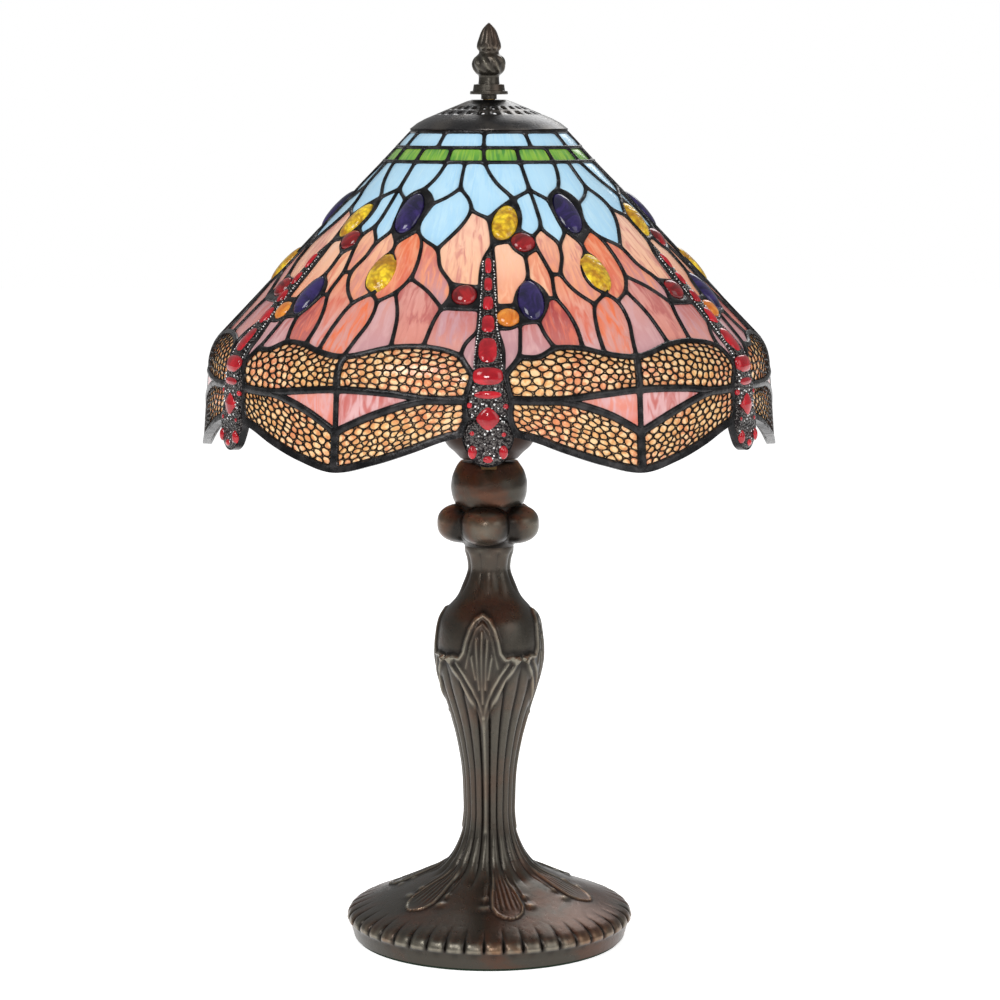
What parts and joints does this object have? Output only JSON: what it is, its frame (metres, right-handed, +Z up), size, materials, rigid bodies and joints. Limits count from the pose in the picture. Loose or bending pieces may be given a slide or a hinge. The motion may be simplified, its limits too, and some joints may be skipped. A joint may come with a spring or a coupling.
{
  "type": "stained glass table lamp",
  "caption": "Table lamp with a conical stained glass dragonfly shade on a cast bronze column, with harp, bulb, vent cap and finial.",
  "frame": {"origin": "on the table under the centre of the foot", "axes": "+Z up along the column, -Y the front, where a dragonfly faces the viewer, +X to the viewer's right"},
  "size_m": [0.3034, 0.3076, 0.4905],
  "materials": {
    "bronze": "satin dark patina, cast",
    "solder": "black patina over soldered copper foil",
    "dark_cap": "satin dark patina, spun sheet",
    "brass": "satin",
    "steel": "zinc plated",
    "iron": "raw cast",
    "felt": "pressed felt",
    "black_plastic": "moulded",
    "porcelain": "glazed",
    "light_glass": "frosted",
    "sky_glass": "opalescent",
    "green_glass": "opalescent",
    "cream_glass": "streaky opalescent",
    "peach_glass": "streaky opalescent",
    "rose_glass": "streaky opalescent",
    "mauve_glass": "streaky opalescent",
    "wedge_glass": "streaky opalescent",
    "wing_glass": "opalescent under a metal net",
    "purple_glass": "polished jewel",
    "yellow_glass": "hammered jewel",
    "red_glass": "polished jewel",
    "amber_glass": "hammered jewel"
  },
  "bodies": {
    "base": {"felt_pad": "felt", "base_cover": "steel", "ballast_disc": "iron", "bottom_nut": "steel", "bottom_washer": "steel", "foot_casting": "bronze", "stem_casting": "bronze", "leaf_bulb": "bronze", "neck_casting": "bronze", "cable_bushing": "black_plastic", "lobed_collar": "bronze", "ball_knop": "bronze", "tie_rod": "steel", "harp_saddle": "brass", "harp_sleeves": "brass", "harp": "brass", "harp_stud": "brass", "socket_cup": "bronze", "lampholder_cap": "brass", "lampholder_body": "brass", "lampholder_insulator": "porcelain", "screw_shell": "brass", "centre_contact": "brass", "terminal_screws": "brass"},
    "switch": {"switch_shaft": "brass", "switch_knob": "black_plastic"},
    "light": {"light_glass": "light_glass", "light_screw_cap": "steel", "light_tip": "steel"},
    "shade": {"vent_cap": "dark_cap", "aperture_ring": "brass", "upper_solder": "solder", "skirt_solder": "solder", "top_ring_glass": "sky_glass", "green_band_glass": "green_glass", "upper_sky_glass": "sky_glass", "lower_sky_glass": "sky_glass", "cream_glass": "cream_glass", "peach_glass": "peach_glass", "rose_glass": "rose_glass", "mauve_glass": "mauve_glass", "wedge_glass": "wedge_glass", "upper_wing_glass": "wing_glass", "lower_wing_glass": "wing_glass", "wing_filigree": "solder", "purple_jewels": "purple_glass", "yellow_jewels": "yellow_glass", "red_jewels": "red_glass", "amber_jewels": "amber_glass", "dragonfly_bodies": "solder", "tail_glass": "red_glass", "eye_jewels": "red_glass"},
    "finial": {"finial_foot": "bronze", "finial_bud": "bronze"}
  },
  "joints": [
    {"name": "shade_turn", "type": "hinge", "parent": "base", "child": "shade", "pos_m": [0, 0, 0.4489], "axis": [0, 0, 1], "continuous": true},
    {"name": "finial_turn", "type": "hinge", "parent": "base", "child": "finial", "pos_m": [0, 0, 0.455], "axis": [0, 0, 1], "continuous": true},
    {"name": "bulb_turn", "type": "hinge", "parent": "base", "child": "light", "pos_m": [0, 0, 0.302], "axis": [0, 0, 1], "continuous": true},
    {"name": "switch_turn", "type": "hinge", "parent": "base", "child": "switch", "pos_m": [0.034, 0, 0.296], "axis": [1, 0, 0], "continuous": true}
  ]
}
